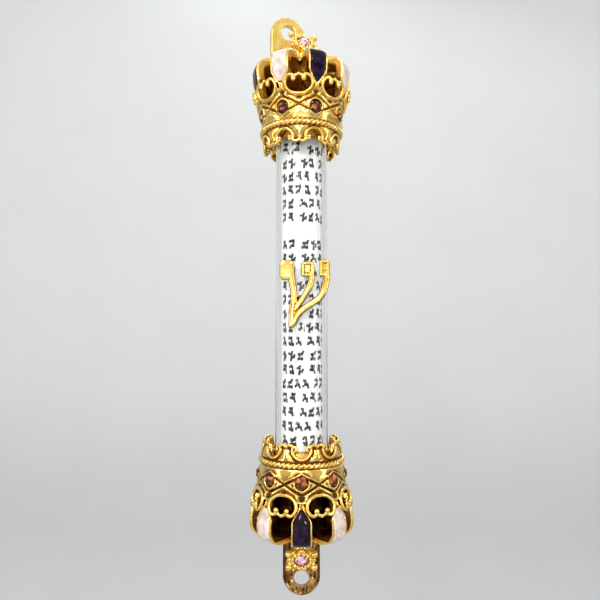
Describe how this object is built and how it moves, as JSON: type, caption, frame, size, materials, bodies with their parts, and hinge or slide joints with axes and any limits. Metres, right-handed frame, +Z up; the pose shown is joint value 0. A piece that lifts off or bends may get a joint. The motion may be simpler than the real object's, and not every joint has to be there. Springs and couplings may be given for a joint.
{
  "type": "mezuzah case",
  "caption": "Upright glass tube that holds a rolled scroll, closed at each end by a jewelled openwork crown with a flat hanging tab.",
  "frame": {"origin": "on the wall plane at the back of the lower hanging tab, on its centre line between the nail hole and the crown", "axes": "+Z up along the tube, +Y into the wall, -Y to the front, +X to the right seen from the front"},
  "size_m": [0.0272, 0.0284, 0.169],
  "materials": {
    "gold": "polished gold plate, darkened in the recesses",
    "antique_gold": "hammered gold plate with a dark antique patina",
    "glass": "clear polished glass tube",
    "paper": "matt white paper with black ink strokes",
    "purple_enamel": "glossy near-black purple enamel",
    "cream_enamel": "pearly cream enamel",
    "amber_crystal": "faceted amber-brown crystal with a foiled back",
    "pink_crystal": "faceted pink crystal with a foiled back",
    "cup_brass": "satin brass, darker than the crowns"
  },
  "bodies": {
    "tube_and_lower_crown": {"glass_tube": "glass", "front_emblem": "gold", "lower_crown": "gold", "lower_tube_cup": "cup_brass", "lower_hanging_tab": "antique_gold", "lower_finial": "gold", "lower_finial_gem": "pink_crystal", "lower_stone_front": "amber_crystal", "lower_enamel_front": "purple_enamel", "lower_stone_front_right": "amber_crystal", "lower_enamel_front_right": "cream_enamel", "lower_stone_right": "amber_crystal", "lower_enamel_right": "purple_enamel", "lower_stone_back_right": "amber_crystal", "lower_enamel_back_right": "cream_enamel", "lower_stone_back": "amber_crystal", "lower_stone_back_left": "amber_crystal", "lower_enamel_back_left": "cream_enamel", "lower_stone_left": "amber_crystal", "lower_enamel_left": "purple_enamel", "lower_stone_front_left": "amber_crystal", "lower_enamel_front_left": "cream_enamel"},
    "upper_cup": {"upper_tube_cup": "cup_brass"},
    "upper_crown_assembly": {"upper_crown": "gold", "upper_hanging_tab": "gold", "upper_finial": "gold", "upper_finial_gem": "pink_crystal", "upper_stone_front": "amber_crystal", "upper_enamel_front": "purple_enamel", "upper_stone_front_right": "amber_crystal", "upper_enamel_front_right": "cream_enamel", "upper_stone_right": "amber_crystal", "upper_enamel_right": "purple_enamel", "upper_stone_back_right": "amber_crystal", "upper_enamel_back_right": "cream_enamel", "upper_stone_back": "amber_crystal", "upper_stone_back_left": "amber_crystal", "upper_enamel_back_left": "cream_enamel", "upper_stone_left": "amber_crystal", "upper_enamel_left": "purple_enamel", "upper_stone_front_left": "amber_crystal", "upper_enamel_front_left": "cream_enamel"},
    "scroll_roll": {"scroll": "paper"}
  },
  "joints": [
    {"name": "upper_crown_pull", "type": "slide", "parent": "tube_and_lower_crown", "child": "upper_cup", "axis": [0, 0, 1], "range_m": [0, 0.12]},
    {"name": "upper_crown_turn", "type": "hinge", "parent": "upper_cup", "child": "upper_crown_assembly", "pos_m": [0, -0.0138, 0.144], "axis": [0, 0, 1], "continuous": true},
    {"name": "scroll_draw", "type": "slide", "parent": "tube_and_lower_crown", "child": "scroll_roll", "axis": [0, 0, 1], "range_m": [0, 0.108]}
  ],
  "couplings": [
    {"joint": "scroll_draw", "follows": "upper_crown_pull", "ratio": 0.9}
  ]
}
